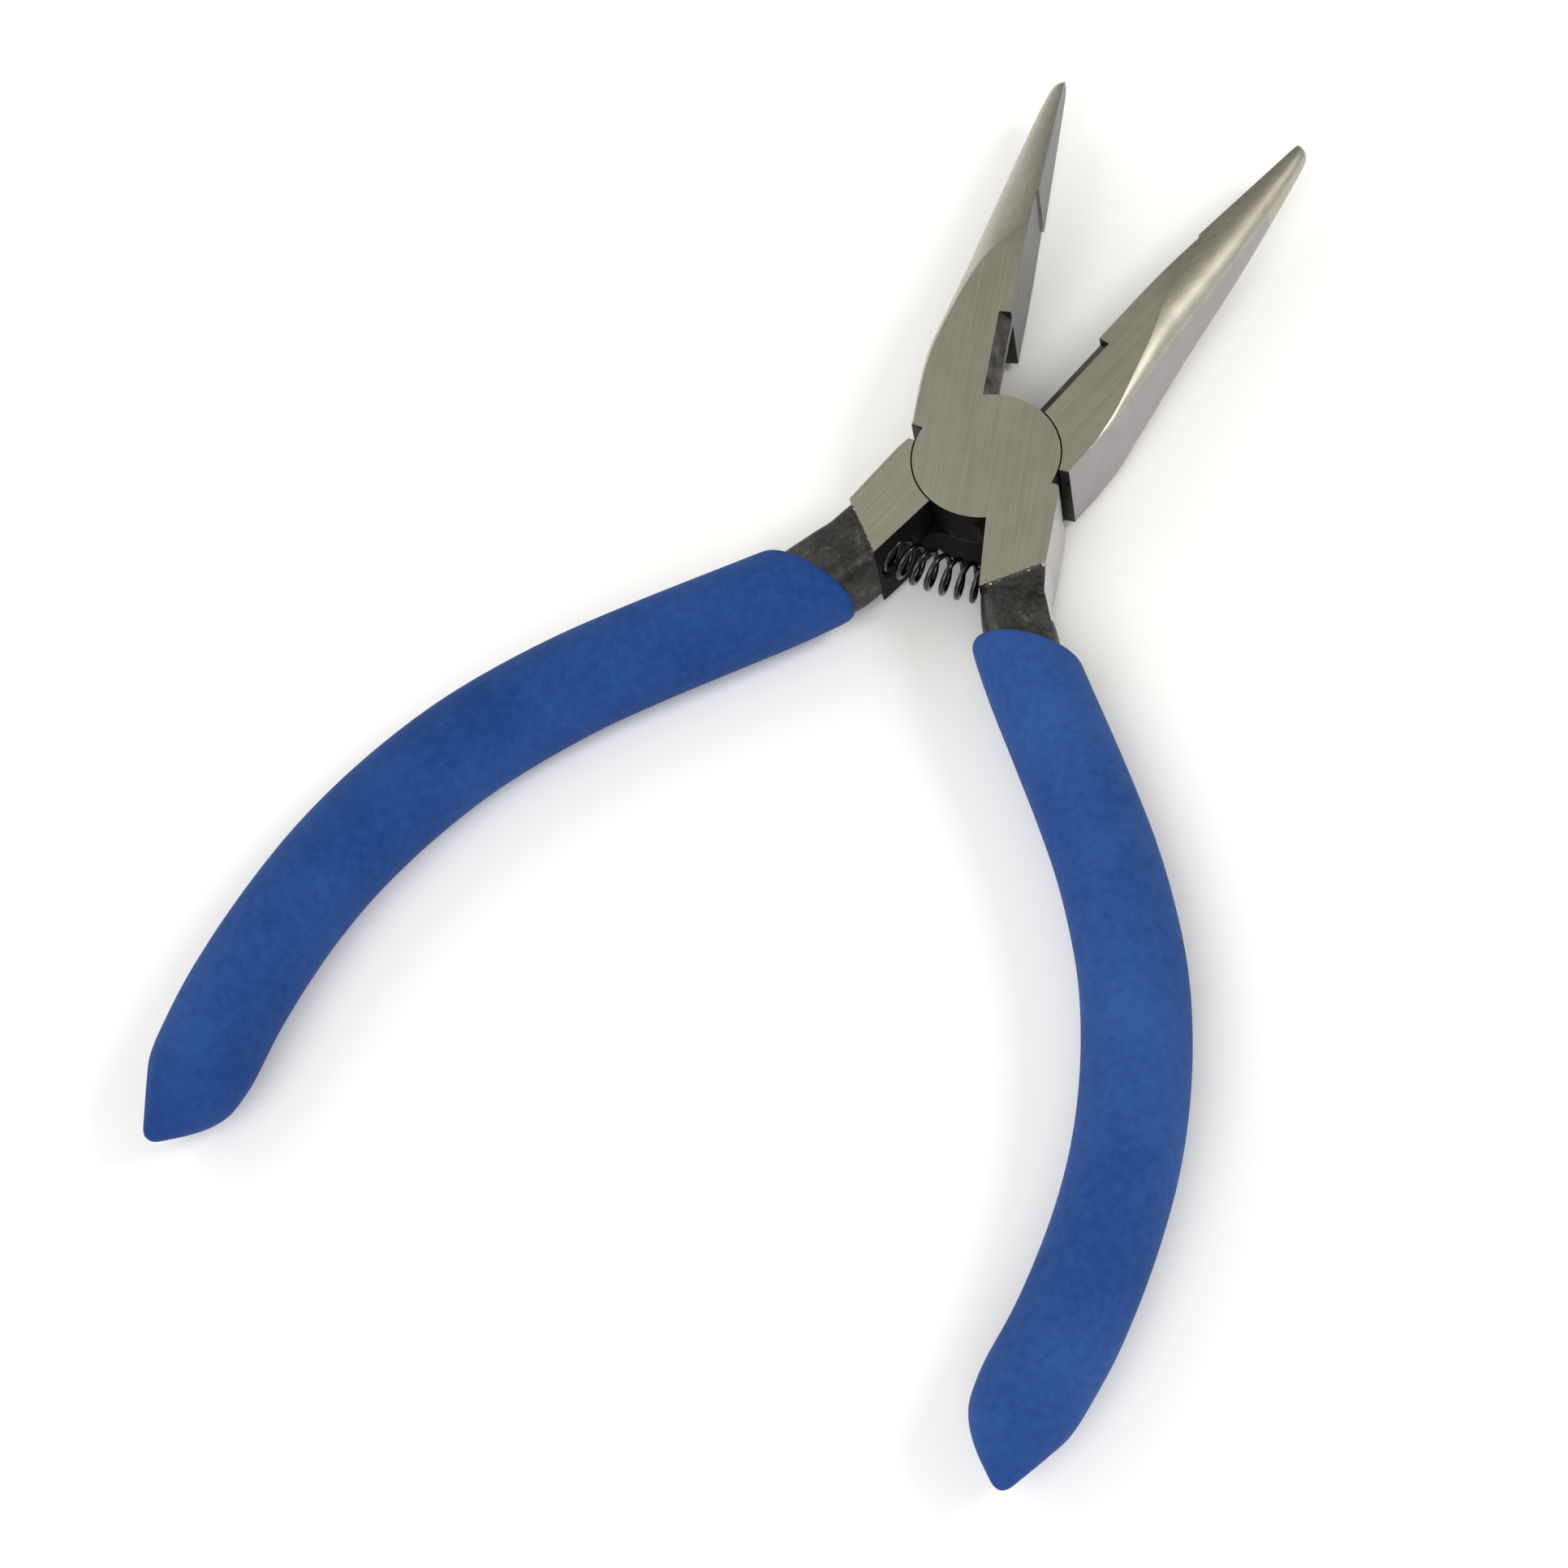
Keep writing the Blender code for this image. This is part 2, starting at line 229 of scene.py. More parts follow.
# Distance from the pivot, half width, half width of the ground flat, half thickness, and the share
# of that thickness over which the outer side is straight
LEFT_JAW = (
    (-1.0, 6.67, 6.50, 3.625, 0.90),
    (3.0, 6.67, 6.50, 3.625, 0.90),
    (6.0, 6.69, 6.50, 3.625, 0.90),
    (8.6, 6.68, 6.40, 3.625, 0.85),
    (11.0, 6.54, 6.05, 3.625, 0.75),
    (13.7, 6.11, 5.45, 3.625, 0.62),
    (16.8, 5.57, 4.60, 3.625, 0.50),
    (19.2, 5.19, 3.75, 3.625, 0.42),
    (20.9, 4.92, 2.90, 3.600, 0.37),
    (22.4, 4.71, 1.85, 3.530, 0.33),
    (24.0, 4.46, 0.85, 3.390, 0.29),
    (26.0, 4.15, 0.05, 3.150, 0.25),
    (29.7, 3.51, 0.03, 2.640, 0.20),
    (34.0, 2.75, 0.03, 2.030, 0.12),
    (38.3, 1.93, 0.03, 1.400, 0.06),
    (40.5, 1.38, 0.03, 1.070, 0.04),
    (41.4, 1.05, 0.03, 0.880, 0.04),
    (41.8, 0.66, 0.03, 0.600, 0.04),
    (41.92, 0.30, 0.03, 0.280, 0.04),
)
RIGHT_JAW = (
    (-1.0, 6.53, 6.47, 3.625, 0.93),
    (3.0, 6.53, 6.47, 3.625, 0.93),
    (6.0, 6.53, 6.42, 3.625, 0.92),
    (8.6, 6.42, 6.05, 3.625, 0.85),
    (10.6, 6.16, 5.58, 3.625, 0.75),
    (13.8, 5.72, 4.62, 3.625, 0.62),
    (17.2, 5.21, 3.60, 3.625, 0.48),
    (20.2, 4.79, 2.45, 3.605, 0.38),
    (22.0, 4.57, 1.70, 3.540, 0.33),
    (24.0, 4.32, 0.80, 3.390, 0.29),
    (26.0, 4.06, 0.05, 3.150, 0.25),
    (29.7, 3.51, 0.03, 2.650, 0.20),
    (34.0, 2.76, 0.03, 2.030, 0.12),
    (38.3, 1.91, 0.03, 1.400, 0.06),
    (40.6, 1.38, 0.03, 1.070, 0.04),
    (41.5, 1.05, 0.03, 0.880, 0.04),
    (41.85, 0.66, 0.03, 0.600, 0.04),
    (41.94, 0.30, 0.03, 0.280, 0.04),
)
JAW_RINGS = 110
JAW_ARC_STEPS = 18

# The flat ground head of a tang, without its ragged far edge
HEAD = ((1.5, -1.0), (6.29, -2.35), (6.42, -3.6), (6.42, -6.6), (6.40, -9.74))
HEAD_INNER = ((1.44, -12.52), (1.17, -8.8), (0.90, -5.0), (0.5, -2.0))

# Centre line of a tang, with half width, half thickness and squareness of its section
TANG = (
    (3.90, -8.0, 2.30, 3.30, 6.0),
    (4.02, -10.4, 2.62, 3.30, 6.0),
    (4.16, -12.4, 2.74, 3.32, 5.6),
    (4.62, -14.2, 2.86, 3.32, 5.0),
    (5.42, -16.2, 2.84, 3.10, 4.2),
    (6.30, -18.0, 2.70, 2.90, 3.4),
    (7.30, -19.9, 2.55, 2.70, 2.8),
    (9.79, -24.7, 2.35, 2.35, 2.6),
    (12.31, -29.5, 2.30, 2.30, 2.6),
)

# Centre line of a grip with its radius
GRIP = (
    (5.42, -16.2, 4.02),
    (7.18, -19.8, 4.13),
    (9.79, -24.7, 4.15),
    (12.31, -29.5, 4.18),
    (14.64, -34.3, 4.22),
    (16.60, -39.3, 4.27),
    (18.09, -44.2, 4.30),
    (19.02, -49.2, 4.30),
    (19.49, -54.2, 4.28),
    (19.50, -59.1, 4.24),
    (19.02, -63.9, 4.20),
    (18.20, -68.5, 4.20),
    (17.10, -72.9, 4.20),
    (15.75, -76.8, 4.17),
    (15.15, -78.6, 4.02),
    (14.75, -80.0, 3.72),
    (14.60, -81.3, 3.10),
    (14.50, -82.6, 2.25),
    (14.45, -83.8, 1.35),
    (14.42, -84.6, 0.72),
    (14.41, -84.9, 0.30),
)
TANG_RINGS = 60
TANG_SIDES = 96

MOUTH_TILT = 0.11               # slope of a grip's mouth against the X axis
MOUTH_REACH = 13.0              # how far along the grip that slope is felt
GRIP_SIDES = 64
GRIP_RINGS = 170
LIP = 0.8                       # rounding of the mouth's rim


def jaw_ring(row):
    """A half round section: flat inside, a straight outer side, and curved corners up to the flats."""
    y, width, flat, height, straight = row
    flat = max(flat, 0.03)
    height = min(height, FRONT)
    limit = math.radians(90 - 32 * min(flat / 2.5, 1))  # a full quarter turn where there is no flat
    strip = -flat + min(0.15, flat / 2)                 # keeps smooth shading off the flat
    ring = [Vector((0.3, y, height)), Vector((0.3, y, -height)), Vector((strip, y, -height))]
    for side in (-1, 1):
        for step in range(JAW_ARC_STEPS + 1):
            share = step / JAW_ARC_STEPS
            turn = limit * (1 - share if side < 0 else share)
            reach = (math.cos(turn) - math.cos(limit)) / (1 - math.cos(limit))
            rise = straight + (1 - straight) * math.sin(turn) / math.sin(limit)
            ring.append(Vector((-flat - (width - flat) * reach, y, side * height * rise)))
    ring.append(Vector((strip, y, height)))
    return ring


def section(centre, across, half_width, half_thick, squareness, sides):
    """A superellipse round a centre: 2 is an ellipse, and more is squarer."""
    ring = []
    for side in range(sides):
        turn = 2 * math.pi * (side + 0.5) / sides
        c, s = math.cos(turn), math.sin(turn)
        wide = math.copysign(abs(c) ** (2 / squareness), c) * half_width
        tall = math.copysign(abs(s) ** (2 / squareness), s) * half_thick
        ring.append(centre + across * wide + Vector((0, 0, tall)))
    return ring


def path_sections(rows, sides):
    """Sections square to a centre line, for rows of x, y, half width, half thickness, squareness."""
    centres = [Vector((row[0], row[1], 0)) for row in rows]
    rings = []
    for i, row in enumerate(rows):
        ahead = centres[min(i + 1, len(rows) - 1)] - centres[max(i - 1, 0)]
        across = Vector((-ahead.y, ahead.x, 0)).normalized()
        rings.append(section(centres[i], across, row[2], row[3], row[4], sides))
    return rings


def cutter_outline(front_side):
    """What the cutter's recess takes away, as x and z. front_side is 1 or -1."""
    edge_z = FRONT - BEVEL
    slope = (BACK_BEVEL - TOUCH) / (edge_z + FRONT)
    points = (
        (-TOUCH, edge_z),
        (-TOUCH - BEVEL - 1, FRONT + 1),
        (1, FRONT + 1),
        (1, -FRONT - 1),
        (-TOUCH - slope * (edge_z + FRONT + 1), -FRONT - 1),
    )
    return [(x, z * front_side) for x, z in points]


def ragged(start, end, seed, depth=0.05, spacing=0.18):
    """Points from start to end that wander a little off the line, as where grinding runs out."""
    numbers = random.Random(seed)
    line = Vector(end) - Vector(start)
    aside = Vector((-line.y, line.x)).normalized()
    count = int(line.length / spacing)
    return [
        tuple(Vector(start) + line * (i / count) + aside * numbers.uniform(-depth, depth))
        for i in range(1, count)
    ]


def web_outline():
    """The fillet between a joint disc and the inner side of its tang."""
    inset = WEB_WALL - WEB_R
    centre = Vector((inset, -math.sqrt((DISC_R + WEB_R) ** 2 - inset ** 2)))
    start = math.atan2(-centre.y, -centre.x)
    turns = [start * step / 12 for step in range(13)]
    curve = [centre + Vector((math.cos(turn), math.sin(turn))) * WEB_R for turn in turns]
    return [(WEB_WALL + 1, centre.y), *[tuple(point) for point in curve], (0, -4.5), (WEB_WALL + 1, -4.5)]


def half_mesh(name, jaw_rows, flipped, seed):
    """One forging in its own frame. The flipped one is the back half, which takes the rivet's head."""
    jaw = loft_mesh(name, [jaw_ring(row) for row in smoothed(jaw_rows, JAW_RINGS)])
    far = 14
    shoulder = (
        (0, 0),
        (far * math.cos(SHOULDER_ANGLE), far * math.sin(SHOULDER_ANGLE)),
        (-far, -far),
        (far, -far),
        (far, 0),
    )
    upright = Matrix.Rotation(math.radians(90), 4, "X")
    end = ragged(HEAD[-1], HEAD_INNER[0], seed)
    tang = path_sections(smoothed(TANG, TANG_RINGS), TANG_SIDES)
    across = Matrix.Translation((0, SPRING_Y * MM, 0)) @ Matrix.Rotation(math.radians(90), 4, "Y")
    beyond = FRONT + 2
    bore_top = beyond if flipped else LAP + RIVET_BLIND + 0.3
    relief = ((-RELIEF, JAW_FACE_Y), (-RELIEF, STEP_Y), (1, STEP_Y), (1, JAW_FACE_Y))
    face = ((-TOUCH, JAW_FACE_Y), (-TOUCH, 50), (1, 50), (1, JAW_FACE_Y))
    recess = cutter_outline(-1 if flipped else 1)
    steps = [
        ("DIFFERENCE", prism_mesh("shoulder", shoulder, -beyond, beyond)),
        ("DIFFERENCE", prism_mesh("face", face, -beyond, beyond)),
        ("DIFFERENCE", prism_mesh("relief", relief, -beyond, beyond)),
        ("DIFFERENCE", prism_mesh("recess", recess, -NOTCH_Y, 0, upright)),
        ("UNION", loft_mesh("tang", tang)),
        ("UNION", prism_mesh("head", [*HEAD, *end, *HEAD_INNER], -FRONT, FRONT)),
        ("DIFFERENCE", cylinder_mesh("room", DISC_R + DISC_CLEAR, -beyond, LAP)),
        ("UNION", cylinder_mesh("disc", DISC_R, LAP, FRONT)),
        ("UNION", prism_mesh("web", web_outline(), LAP, FRONT - WEB_DROP)),
        ("DIFFERENCE", cylinder_mesh("bore", RIVET_R + 0.05, -beyond, bore_top, segments=96)),
        ("DIFFERENCE", cylinder_mesh("pocket", POCKET_R, -1, POCKET_BOTTOM, across, segments=64)),
    ]
    if flipped:
        sink = cylinder_mesh("sink", RIVET_HEAD_R + 0.04, FRONT - RIVET_HEAD_T - 0.3, beyond, segments=96)
        steps.append(("DIFFERENCE", sink))
    return flattened(carve(jaw, steps))


GROUND, SIDE, SHADED_GRIPPING, CUT, BLACK, SHADED_OXIDE, WORN_HIGHLIGHT, SHADED_JAW_SIDE = range(8)


def past_head(point):
    """How far a point is beyond the end of the ground head, towards the grip."""
    start, end = Vector(HEAD[-1]), Vector(HEAD_INNER[0])
    line = (end - start).normalized()
    return (point.xy - start).dot(Vector((-line.y, line.x)))


def tang_zone(centre, normal, beyond):
    """The zone of a face on a tang that is this far beyond the end of its head."""
    # The step at the head's end: bare worn steel, made far brighter than the ground steel as a painted
    # highlight.
    if abs(beyond) < 0.12 and normal.y < -0.5 and abs(centre.z) > 3:
        return WORN_HIGHLIGHT
    if beyond > 0.02 and centre.y < -4:
        outer = normal.x > 0.8 and centre.x > 6.2 and centre.y > -14.6
        return SIDE if outer else BLACK
    # Inner sides of the tang: black oxide darkened further as painted shade.
    if normal.x < -0.5 or (abs(normal.z) < 0.5 and centre.x < 2):
        return SHADED_OXIDE
    return SIDE


def zone(centre, normal):
    """Which finish a face of a half has, from where it is in millimetres and which way it faces."""
    radius = centre.xy.length
    walls = abs(normal.z) < 0.5
    if abs(normal.z) > 0.995 and abs(centre.z) > FRONT - 0.02:
        return GROUND
    # Walls of the discs and bores, and the lower faces round them: black oxide darkened further as painted
    # shade.
    if radius < 9 and (walls if radius < DISC_R + 0.3 else abs(normal.z) > 0.9):
        return SHADED_OXIDE
    if centre.x > 0.35 and centre.y < 0:
        return tang_zone(centre, normal, past_head(centre))
    # Other walls behind the joint: black oxide darkened further as painted shade.
    if walls and centre.y < 0:
        return SHADED_OXIDE
    if centre.y > 0 and walls and normal.y < -0.5 and (radius < 9 or centre.y < NOTCH_Y + 0.1):
        return BLACK
    if 4 < centre.y < NOTCH_Y and normal.x > 0.25 and centre.x > -2.6:
        return CUT
    # Inner faces of the jaws: steel darkened as painted shade.
    if normal.x > 0.7:
        return SHADED_GRIPPING
    # Outer sides of the jaws take a darker copy of the side steel, as painted shade.
    return SHADED_JAW_SIDE if normal.x < -0.85 and centre.y < 34 else GROUND


# ---------------------------------------------------------------- materials

OWN_FRAME = "own frame"


def new_material(name, home=Matrix()):
    """A material whose textures lie in the frame that home puts in its place."""
    made = bpy.data.materials.new(name)
    made.use_nodes = True
    nodes, links = made.node_tree.nodes, made.node_tree.links
    where = nodes.new("ShaderNodeTexCoord")
    own = nodes.new("ShaderNodeMapping")
    own.name = OWN_FRAME
    own.vector_type = "TEXTURE"
    own.inputs["Location"].default_value = home.to_translation()
    own.inputs["Rotation"].default_value = home.to_euler()
    links.new(where.outputs["Object"], own.inputs["Vector"])
    return made, nodes, links, nodes["Principled BSDF"]


def noise(nodes, links, scale, detail=4.0, rough=0.55, stretch=(1, 1, 1)):
    """Noise in the half's own frame, its scale in features for each metre along each axis."""
    mapping = nodes.new("ShaderNodeMapping")
    mapping.inputs["Scale"].default_value = stretch
    texture = nodes.new("ShaderNodeTexNoise")
    texture.inputs["Scale"].default_value = scale
    texture.inputs["Detail"].default_value = detail
    texture.inputs["Roughness"].default_value = rough
    links.new(nodes[OWN_FRAME].outputs["Vector"], mapping.inputs["Vector"])
    links.new(mapping.outputs["Vector"], texture.inputs["Vector"])
    return texture.outputs["Fac"]


def blended(nodes, links, first, second, share):
    """A share of the second texture over the first."""
    mix = nodes.new("ShaderNodeMix")
    mix.data_type = "FLOAT"
    mix.inputs["Factor"].default_value = share
    links.new(first, mix.inputs["A"])
    links.new(second, mix.inputs["B"])
    return mix.outputs["Result"]


def ramp(nodes, links, source, stops):
    """A colour ramp, for stops of a place and a colour."""
    made = nodes.new("ShaderNodeValToRGB")
    bar = made.color_ramp
    while len(bar.elements) < len(stops):
        bar.elements.new(0.5)
    for element, (place, colour) in zip(bar.elements, stops):
        element.position = place
        element.color = (*colour, 1)
    links.new(source, made.inputs["Fac"])
    return made.outputs["Color"]


def grey(value):
    return (value, value, value)


def roughness(nodes, links, shader, source, low, high):
    """Roughness between two values, following a texture."""
    spread = ramp(nodes, links, source, ((0.3, grey(low)), (0.7, grey(high))))
    links.new(spread, shader.inputs["Roughness"])


def bump(nodes, links, shader, source, distance, strength, below=None):
    """Bump on a shader, over the bump below it if there is one."""
    made = nodes.new("ShaderNodeBump")
    made.inputs["Distance"].default_value = distance
    made.inputs["Strength"].default_value = strength
    links.new(source, made.inputs["Height"])
    if below:
        links.new(below, made.inputs["Normal"])
    links.new(made.outputs["Normal"], shader.inputs["Normal"])
    return made.outputs["Normal"]


def brushed_steel(name, home, dark, light, rough_low, rough_high, along=90, across=7000):
    """Ground steel: fine lines along the half over a slight cloudiness."""
    made, nodes, links, shader = new_material(name, home)
    lines = noise(nodes, links, 1.0, 5, 0.6, (across, along, across))
    cloud = noise(nodes, links, 420, 5, 0.6)
    tone = blended(nodes, links, lines, cloud, 0.55)
    links.new(ramp(nodes, links, tone, ((0.36, dark), (0.64, light))), shader.inputs["Base Color"])
    roughness(nodes, links, shader, lines, rough_low, rough_high)
    shader.inputs["Metallic"].default_value = 1.0
    bump(nodes, links, shader, lines, 0.000006, 0.5)
    return made


def oxide(name, home, stops, rough_low, rough_high, metallic, dent=0.00012):
    """Forged steel left black: pitted, with brown and worn patches."""
    made, nodes, links, shader = new_material(name, home)
    patches = noise(nodes, links, 520, 7, 0.68)
    fine = noise(nodes, links, 2400, 4, 0.6)
    tone = blended(nodes, links, patches, fine, 0.35)
    links.new(ramp(nodes, links, tone, stops), shader.inputs["Base Color"])
    roughness(nodes, links, shader, fine, rough_low, rough_high)
    shader.inputs["Metallic"].default_value = metallic
    shader.inputs["Specular IOR Level"].default_value = 0.12
    dents = bump(nodes, links, shader, patches, dent, 0.6)
    bump(nodes, links, shader, fine, dent / 3, 0.6, dents)
    return made


def foam_grip(name, home, dark, light):
    """Blue foam skin: dull, with a fine pale mottle that fades towards the closed end."""
    made, nodes, links, shader = new_material(name, home)
    mottle = noise(nodes, links, 1300, 8, 0.75)
    large = noise(nodes, links, 110, 3, 0.5)
    tone = blended(nodes, links, mottle, large, 0.45)
    split = nodes.new("ShaderNodeSeparateXYZ")
    links.new(nodes[OWN_FRAME].outputs["Vector"], split.inputs["Vector"])
    fade = nodes.new("ShaderNodeMapRange")
    fade.inputs["From Min"].default_value = -0.0835
    fade.inputs["From Max"].default_value = -0.0765
    fade.inputs["To Min"].default_value = 0.82
    fade.inputs["To Max"].default_value = 1.0
    links.new(split.outputs["Y"], fade.inputs["Value"])
    faded = nodes.new("ShaderNodeMath")
    faded.operation = "MULTIPLY"
    links.new(tone, faded.inputs[0])
    links.new(fade.outputs["Result"], faded.inputs[1])
    colour = ramp(nodes, links, faded.outputs[0], ((0.40, dark), (0.62, light)))
    links.new(colour, shader.inputs["Base Color"])
    grain = noise(nodes, links, 5200, 3, 0.6)
    roughness(nodes, links, shader, grain, 0.70, 0.9)
    shader.inputs["Specular IOR Level"].default_value = 0.14
    shader.inputs["Sheen Weight"].default_value = 0.05
    shader.inputs["Sheen Roughness"].default_value = 0.5
    shader.inputs["Sheen Tint"].default_value = (0.45, 0.6, 1.0, 1)
    below = bump(nodes, links, shader, mottle, 0.00005, 0.5)
    bump(nodes, links, shader, grain, 0.00003, 0.5, below)
    return made


def glossy_black(name):
    """Oiled black wire."""
    made, nodes, links, shader = new_material(name)
    spots = noise(nodes, links, 2500, 3, 0.5)
    colour = ramp(nodes, links, spots, ((0.3, grey(0.002)), (0.8, grey(0.006))))
    links.new(colour, shader.inputs["Base Color"])
    gloss = ramp(nodes, links, spots, ((0.3, grey(0.12)), (0.8, grey(0.26))))
    links.new(gloss, shader.inputs["Roughness"])
    shader.inputs["Coat Weight"].default_value = 0.25
    shader.inputs["Coat Roughness"].default_value = 0.12
    bump(nodes, links, shader, spots, 0.00001, 0.4)
    return made


def plain_floor(name):
    made, _, _, shader = new_material(name)
    shader.inputs["Base Color"].default_value = (0.93, 0.93, 0.935, 1)
    shader.inputs["Roughness"].default_value = 0.9
    shader.inputs["Specular IOR Level"].default_value = 0.1
    return made


# ---------------------------------------------------------------- pieces

def finish_piece(obj, body, slot, *nodes):
    """Puts a piece on the body it rides on and hides the nodes it stands for; slot is not used."""
    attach(obj, body)
    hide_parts(*nodes)


def placed(flipped):
    """Where a half's own frame is at rest."""
    flip = Matrix.Rotation(math.pi if flipped else 0, 4, "Y")
    swing = Matrix.Rotation(-OPENING / 2 if flipped else OPENING / 2, 4, "Z")
    return Matrix.Translation(PIVOT) @ swing @ flip


def make_half(name, node, jaw_rows, flipped, body, finishes, seed):
    """One forging in its place, with a finish for each zone and its edges broken."""
    mesh = half_mesh(name, jaw_rows, flipped, seed)
    mesh.name = name
    mesh.materials.clear()
    for finish in finishes:
        mesh.materials.append(finish)
    for face in mesh.polygons:
        face.material_index = zone(face.center / MM, face.normal)
    mesh.transform(placed(flipped))
    half = scene_object(name, mesh)
    mesh.shade_smooth()
    mesh.set_sharp_from_angle(angle=math.radians(14))
    edges = half.modifiers.new("broken edges", "BEVEL")
    edges.width = EDGE * MM
    edges.segments = 2
    edges.limit_method = "ANGLE"
    edges.angle_limit = math.radians(35)
    edges.harden_normals = False
    finish_piece(half, body, "ground_steel", node)


def grip_skin():
    """Rings up the inside of the mouth, round its lip, and down the outside to the closed end."""
    path = smoothed(GRIP, GRIP_RINGS)
    centres = [Vector((x, y, 0)) for x, y, _ in path]
    start = centres[0]
    ahead = (centres[1] - start).normalized()
    across = Vector((-ahead.y, ahead.x, 0))
    radius = path[0][2]
    skin = []
    for depth in (5.0, 2.5, LIP + 0.1):
        skin.append(section(start + ahead * depth, across, 2.95, 3.2, 4.0, GRIP_SIDES))
    for step in range(9):
        turn = math.pi / 2 * step / 8
        size = radius - LIP * (1 - math.sin(turn))
        rim = start + ahead * LIP * (1 - math.cos(turn))
        skin.append(section(rim, across, size, size, 2.0, GRIP_SIDES))
    for i in range(1, len(path)):
        if (centres[i] - start).length < LIP + 0.15:
            continue
        line = (centres[min(i + 8, len(path) - 1)] - centres[i - 8 if i > 8 else 0]).normalized()
        aside = Vector((-line.y, line.x, 0))
        skin.append(section(centres[i], aside, path[i][2], path[i][2], 2.0, GRIP_SIDES))
    # The mouth is nearly square to the tool, so points near it slide along the grip to its plane
    for ring in skin:
        for point in ring:
            along = (point - start).dot(ahead)
            share = max(0.0, 1 - max(along, 0) / MOUTH_REACH) ** 2
            foot = point - ahead * along
            gap = start.y - foot.y - MOUTH_TILT * (foot.x - start.x)
            point += ahead * (gap / (ahead.y + MOUTH_TILT * ahead.x) * share)
    return skin


def make_grip(name, node, flipped, body, finish, fullness):
    """A sleeve. fullness is its thickness against the drawn one."""
    skin = grip_skin()
    rings = []
    for ring in skin:
        middle = sum(ring, Vector()) / len(ring)
        rings.append([middle + (point - middle) * fullness for point in ring])
    mesh = loft_mesh(name, rings)
    mesh.transform(placed(flipped))
    grip = scene_object(name, mesh)
    mesh.materials.append(finish)
    mesh.shade_smooth()
    finish_piece(grip, body, "blue_grip", node)


def spring_line(points_per_turn):
    """The wire's centre line: a coil round the arc that joins the two pockets."""
    half_angle = OPENING / 2
    end_x = POCKET_BOTTOM - 0.3 - WIRE_R
    reach = end_x * math.cos(half_angle) - SPRING_Y * math.sin(half_angle)
    level = end_x * math.sin(half_angle) + SPRING_Y * math.cos(half_angle)
    arc_r = reach / math.sin(half_angle)
    centre_y = level + arc_r * math.cos(half_angle)
    turns = ACTIVE_TURNS + 2 * END_TURNS
    pitch = (arc_r * OPENING - 2 * END_TURNS * END_PITCH) / ACTIVE_TURNS
    points = []
    for step in range(turns * points_per_turn + 1):
        turn = step / points_per_turn
        closed = min(turn, END_TURNS) + max(0, turn - END_TURNS - ACTIVE_TURNS)
        along = closed * END_PITCH + (turn - closed) * pitch
        angle = along / arc_r - half_angle
        outward = Vector((math.sin(angle), -math.cos(angle), 0))
        spoke = outward * math.cos(2 * math.pi * turn) + Vector((0, 0, math.sin(2 * math.pi * turn)))
        points.append(Vector((0, centre_y, 0)) + outward * arc_r + spoke * COIL_R)
    return points


def make_spring(finish):
    """The coil spring between the halves, drawn as it is at rest."""
    line = spring_line(40)
    sides = 14
    turns = [2 * math.pi * side / sides for side in range(sides)]
    rings = []
    for i, point in enumerate(line):
        ahead = (line[min(i + 1, len(line) - 1)] - line[max(i - 1, 0)]).normalized()
        out = Vector((point.x, SPRING_Y, 0)) - point
        first = (out - ahead * out.dot(ahead)).normalized()
        second = ahead.cross(first)
        rings.append([point + (first * math.cos(turn) + second * math.sin(turn)) * WIRE_R for turn in turns])
    mesh = loft_mesh("coil_spring", rings)
    mesh.transform(Matrix.Translation(PIVOT))
    mesh.materials.append(finish)
    mesh.shade_smooth()
    mesh.set_sharp_from_angle(angle=math.radians(50))
    spring = scene_object("coil_spring", mesh)
    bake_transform(spring)
    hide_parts("return_spring")


def make_rivet(finish):
    """The rivet: blind in the front disc, its head flush with the back one's ground face."""
    top, neck, face = LAP + RIVET_BLIND, RIVET_HEAD_T - FRONT, 0.01 - FRONT
    chamfer = 0.12
    profile = (
        (0.02, top),
        (RIVET_R, top),
        (RIVET_R, neck),
        (RIVET_HEAD_R, neck),
        (RIVET_HEAD_R, chamfer - FRONT),
        (RIVET_HEAD_R - chamfer, face),
        (0.02, face),
    )
    sides = 96
    turns = [2 * math.pi * side / sides for side in range(sides)]
    rings = [[Vector((r * math.cos(turn), r * math.sin(turn), z)) for turn in turns] for r, z in profile]
    mesh = loft_mesh("joint_rivet", rings)
    mesh.materials.append(finish)
    mesh.shade_smooth()
    mesh.set_sharp_from_angle(angle=math.radians(25))
    mesh.transform(placed(False))
    rivet = scene_object("joint_rivet", mesh)
    finish_piece(rivet, FRONT_BODY, "rivet_steel", "pivot_rivet")


# ---------------------------------------------------------------- stage

CAMERA_LENS = 85.3
CAMERA_BACK = (0.32677, -0.40195, 0.85537)      # away from what it looks at
CAMERA_UP = (-0.31237, 0.80825, 0.49915)
CAMERA_PLACE = (92.22, -149.80, 246.83)         # from the middle of the joint's front face


def make_camera():
    """The camera at the photograph's viewpoint."""
    camera = bpy.data.objects.new("camera", bpy.data.cameras.new("camera"))
    bpy.context.scene.collection.objects.link(camera)
    camera.data.sensor_width = 36
    camera.data.lens = CAMERA_LENS
    right = Vector(CAMERA_UP).cross(Vector(CAMERA_BACK)).normalized()
    back = Vector(CAMERA_BACK).normalized()
    up = back.cross(right)
    turn = Matrix((right, up, back)).transposed().to_4x4()
    origin = PIVOT + Vector((0, 0, FRONT * MM))
    camera.matrix_world = Matrix.Translation(origin + Vector(CAMERA_PLACE) * MM) @ turn
    camera.data.clip_start = 0.01
    bpy.context.scene.camera = camera


def make_light(name, place, aim, size, power, colour):
    """A round softbox, its place and size in metres and its power in watts."""
    data = bpy.data.lights.new(name, "AREA")
    data.shape = "DISK"
    data.size = size
    data.energy = power
    data.color = colour
    light = bpy.data.objects.new(name, data)
    bpy.context.scene.collection.objects.link(light)
    light.location = place
    light.rotation_euler = (Vector(aim) - Vector(place)).to_track_quat("-Z", "Y").to_euler()


